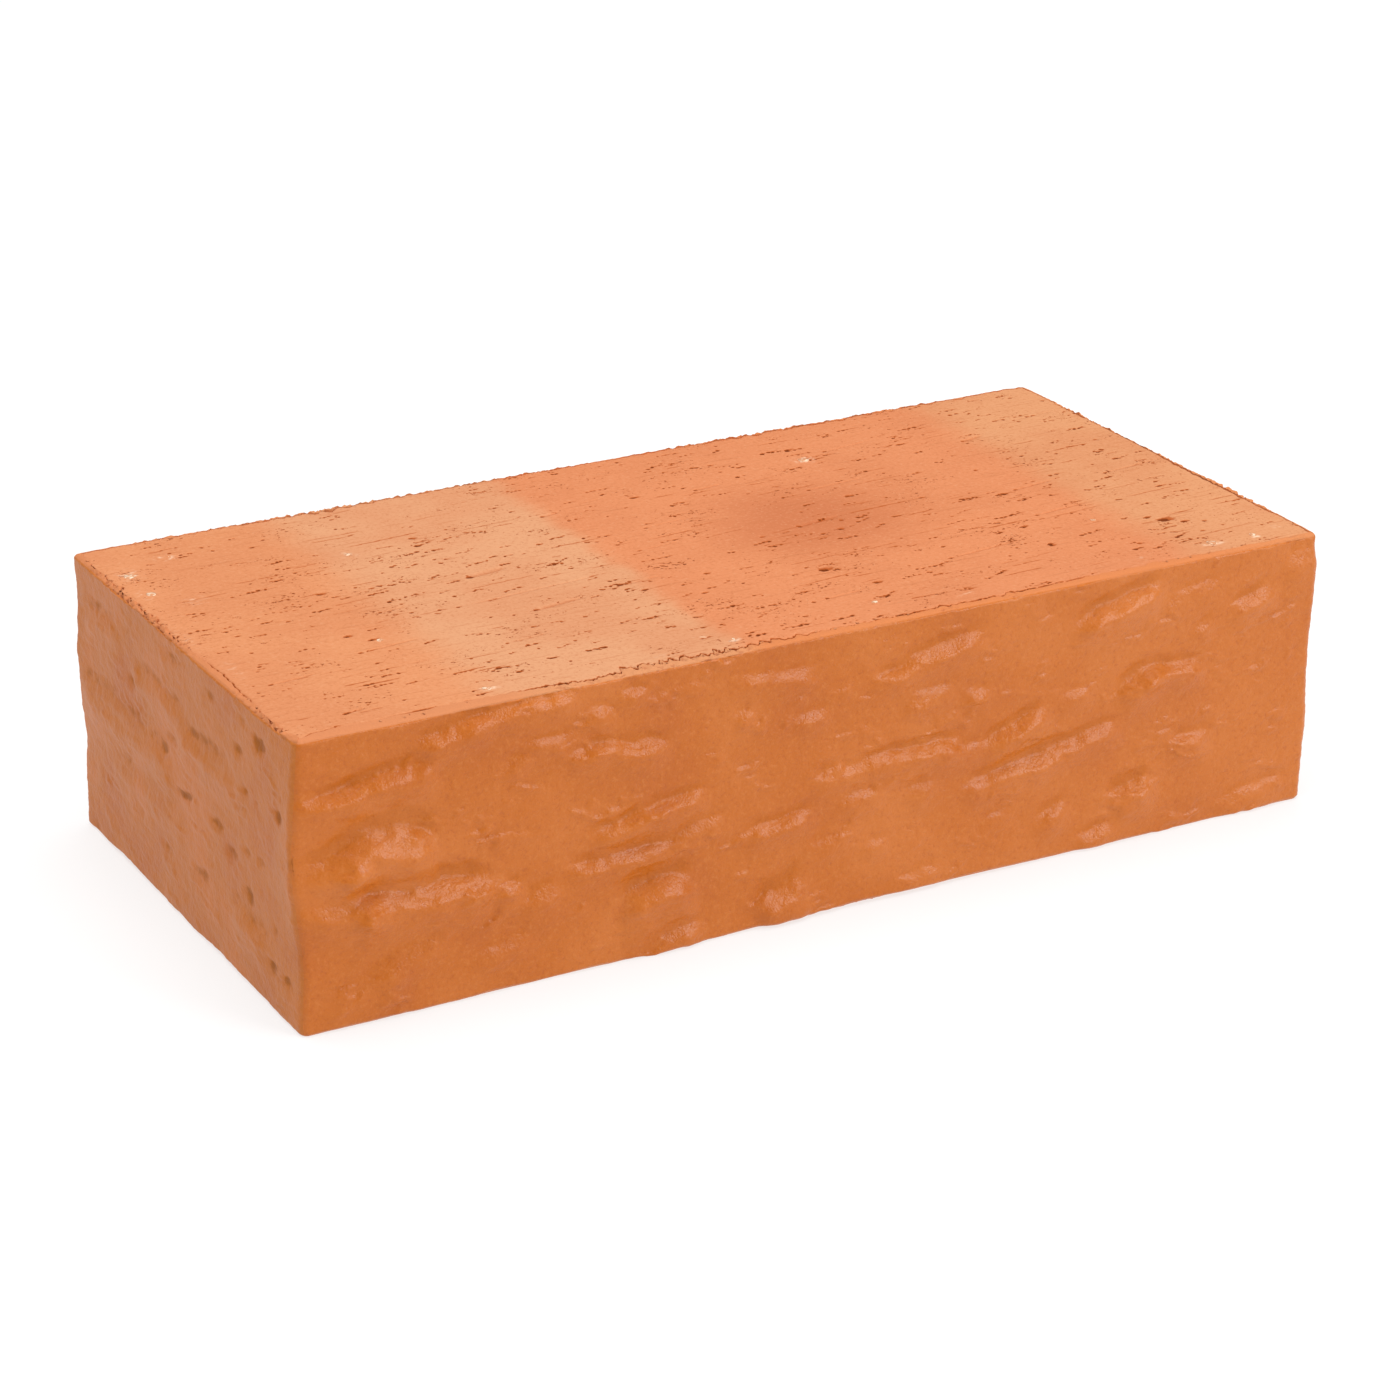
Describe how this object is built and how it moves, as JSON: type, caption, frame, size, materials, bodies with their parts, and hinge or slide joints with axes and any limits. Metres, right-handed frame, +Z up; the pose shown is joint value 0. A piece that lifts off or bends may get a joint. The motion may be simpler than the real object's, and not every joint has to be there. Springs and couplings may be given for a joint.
{
  "type": "clay brick",
  "caption": "Solid fired clay facing brick with two plain wire-cut beds and four textured, satin-fired side faces.",
  "frame": {"origin": "centre of the bottom bed, on the surface that the brick rests on", "axes": "+X along the length, from the left header to the right header; +Y across the width, from the front stretcher face to the back one; +Z up, from bed to bed"},
  "size_m": [0.25, 0.12, 0.065],
  "materials": {
    "fired_clay": "matt, porous, wire-cut",
    "fired_skin": "satin, textured fired skin",
    "pale_grain": "matt mineral grain"
  },
  "bodies": {
    "root": {"clay_body": "fired_clay", "front_stretcher_skin": "fired_skin", "back_stretcher_skin": "fired_skin", "left_header_skin": "fired_skin", "right_header_skin": "fired_skin", "exposed_grains": "pale_grain"}
  },
  "joints": []
}
